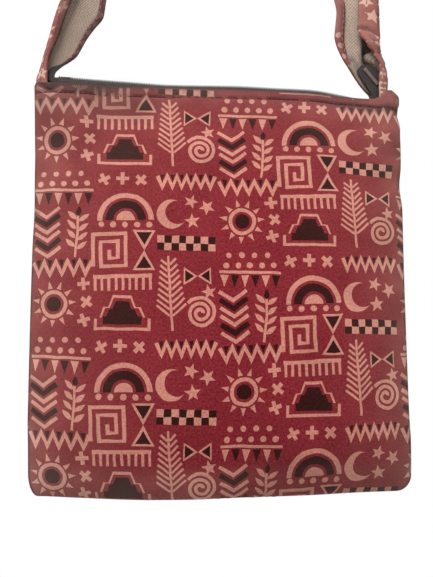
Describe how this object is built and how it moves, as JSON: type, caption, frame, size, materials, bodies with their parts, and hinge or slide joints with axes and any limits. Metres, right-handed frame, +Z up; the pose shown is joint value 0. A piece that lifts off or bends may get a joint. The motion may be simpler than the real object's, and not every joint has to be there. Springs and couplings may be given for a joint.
{
  "type": "crossbody handbag",
  "caption": "Flat zip-top crossbody handbag of printed cotton, hanging by its long tape-backed cloth strap.",
  "frame": {"origin": "middle of the strap's underside at the top of its loop, where the bag hangs", "axes": "+Z up along the hanging bag, -Y towards its front panel, +X to the right as seen from the front"},
  "size_m": [0.24, 0.0417, 0.8548],
  "materials": {
    "printed_cotton": "matte",
    "zip_tape": "matte",
    "zip_teeth": "satin",
    "slider_metal": "satin",
    "strap_tape": "matte"
  },
  "bodies": {
    "root": {"front_panel": "printed_cotton", "back_panel": "printed_cotton", "zip_tape_front": "zip_tape", "zip_tape_back": "zip_tape", "zip_teeth": "zip_teeth", "zip_slider": "slider_metal", "strap_band": "printed_cotton", "strap_tape": "strap_tape"}
  },
  "joints": []
}
